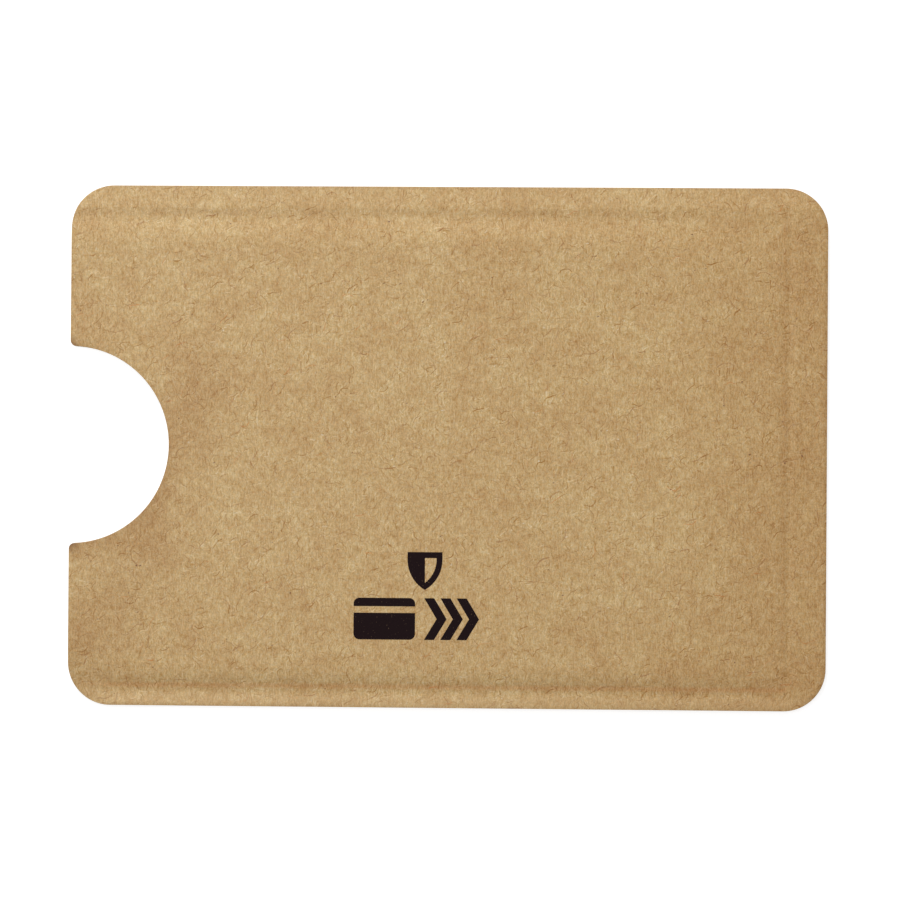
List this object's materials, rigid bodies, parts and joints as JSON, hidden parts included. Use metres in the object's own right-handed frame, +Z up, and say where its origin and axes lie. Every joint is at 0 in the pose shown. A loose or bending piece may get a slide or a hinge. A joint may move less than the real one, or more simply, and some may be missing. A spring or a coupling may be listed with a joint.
{
  "type": "rfid card sleeve",
  "caption": "Kraft paper sleeve for a bank card, sealed on three sides, with a foil shield in each panel and a thumb notch at the open end.",
  "frame": {"origin": "on the surface that the sleeve lies on, under the middle of its outline", "axes": "+X along the long side, from the open mouth at -X to the closed end at +X; +Y across the sleeve; +Z up through the printed front panel"},
  "size_m": [0.0912, 0.0628, 0.0013],
  "materials": {
    "kraft_paper": "matte",
    "aluminium_foil": "satin",
    "liner_film": "satin",
    "glue": "satin",
    "black_ink": "matte"
  },
  "bodies": {
    "root": {"front_kraft_sheet": "kraft_paper", "front_foil_shield": "aluminium_foil", "front_inner_liner": "liner_film", "back_kraft_sheet": "kraft_paper", "back_foil_shield": "aluminium_foil", "back_inner_liner": "liner_film", "upper_glue_strip": "glue", "lower_glue_strip": "glue", "end_glue_strip": "glue", "printed_mark": "black_ink"}
  },
  "joints": []
}
